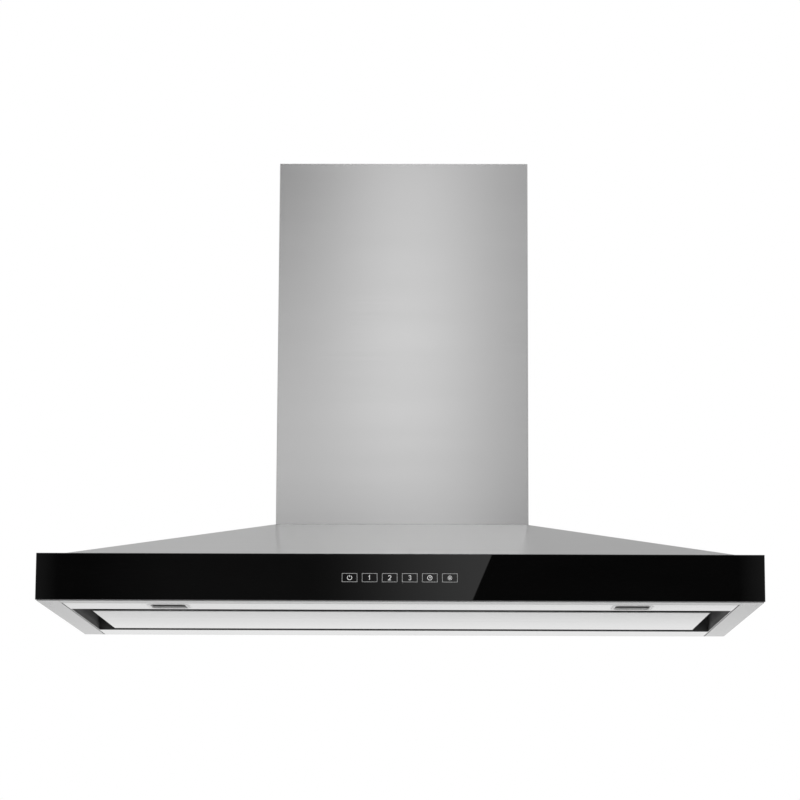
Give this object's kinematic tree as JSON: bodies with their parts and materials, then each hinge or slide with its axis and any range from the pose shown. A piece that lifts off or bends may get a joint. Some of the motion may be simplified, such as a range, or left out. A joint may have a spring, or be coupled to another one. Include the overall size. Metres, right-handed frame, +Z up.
{
  "type": "wall mount range hood",
  "caption": "Wall mount range hood: steel canopy with a black glass touch front, perimeter suction panel, two lamps and a telescopic chimney that hides the blower and duct collar.",
  "frame": {"origin": "on the wall plane, midway between the two hanging holes", "axes": "+X along the wall to the right as seen from the room, +Y into the wall, +Z up"},
  "size_m": [0.898, 0.5, 0.6094],
  "materials": {
    "brushed_steel": "brushed",
    "galvanised": "zinc coated",
    "zinc": "bright",
    "black_glass": "polished, printed black behind",
    "tape": "foam",
    "board": "solder mask",
    "housing": "moulded",
    "lamp_bezel": "satin",
    "lamp_lens": "unlit lens",
    "aluminium": "mill finish",
    "fan_plastic": "moulded",
    "magnet": "ferrite",
    "lead": "sheathed"
  },
  "bodies": {
    "hood": {"canopy_shell": "brushed_steel", "glass_front": "black_glass", "glass_tape": "tape", "touch_pads": "tape", "touch_board": "board", "control_carrier": "housing", "carrier_screws": "zinc", "filter_pan": "brushed_steel", "panel_hinge_brackets": "galvanised", "hinge_screws": "zinc", "magnet_brackets": "galvanised", "panel_magnets": "magnet", "lamp_bezels": "lamp_bezel", "lamp_lenses": "lamp_lens", "lamp_housings": "aluminium", "lamp_boards": "board", "power_box": "housing", "power_box_nuts": "zinc", "power_board": "board", "power_box_lid": "housing", "lead_lamps": "lead", "lead_keys": "lead", "lead_motor": "lead", "lead_mains": "lead", "lower_chimney": "brushed_steel", "chimney_screws": "zinc", "blower_box": "galvanised", "blower_box_top": "galvanised", "blower_box_screws": "zinc", "volute_screws": "zinc", "motor_body": "aluminium", "motor_bearings": "zinc", "motor_bracket": "galvanised", "motor_screws": "zinc", "run_capacitor": "aluminium", "capacitor_clip": "galvanised", "duct_collar": "fan_plastic", "collar_screws": "zinc", "damper_spindle": "zinc", "cable_gland": "housing", "filter_frame_left": "aluminium", "filter_mesh_left": "aluminium", "volute_left": "fan_plastic", "filter_frame_right": "aluminium", "filter_mesh_right": "aluminium", "volute_right": "fan_plastic"},
    "panel": {"suction_panel": "brushed_steel", "panel_hinge_lugs": "galvanised", "panel_hinge_pins": "zinc"},
    "fan": {"impeller": "fan_plastic", "motor_shaft": "zinc", "motor_rotor": "zinc"},
    "flap_front": {"damper_flap_front": "fan_plastic"},
    "flap_rear": {"damper_flap_rear": "fan_plastic"},
    "upper_section": {"upper_chimney": "brushed_steel", "chimney_bracket": "galvanised", "bracket_screws": "zinc"},
    "latch_left": {"filter_latch_left": "housing"},
    "latch_right": {"filter_latch_right": "housing"}
  },
  "joints": [
    {"name": "panel_hinge", "type": "hinge", "parent": "hood", "child": "panel", "pos_m": [0, -0.097, -0.08], "axis": [1, 0, 0], "range_deg": [0, 85]},
    {"name": "fan_spin", "type": "hinge", "parent": "hood", "child": "fan", "pos_m": [0, -0.1505, 0.153], "axis": [1, 0, 0], "continuous": true},
    {"name": "damper_front", "type": "hinge", "parent": "hood", "child": "flap_front", "pos_m": [0, -0.10542, 0.304], "axis": [-1, 0, 0], "range_deg": [0, 75]},
    {"name": "damper_rear", "type": "hinge", "parent": "hood", "child": "flap_rear", "pos_m": [0, -0.10542, 0.304], "axis": [1, 0, 0], "range_deg": [0, 75]},
    {"name": "chimney_slide", "type": "slide", "parent": "hood", "child": "upper_section", "axis": [0, 0, 1], "range_m": [0, 0.38]},
    {"name": "latch_slide_left", "type": "slide", "parent": "hood", "child": "latch_left", "axis": [0, 1, 0], "range_m": [0, 0.007], "stiffness_N_per_m": 400},
    {"name": "latch_slide_right", "type": "slide", "parent": "hood", "child": "latch_right", "axis": [0, 1, 0], "range_m": [0, 0.007], "stiffness_N_per_m": 400}
  ]
}
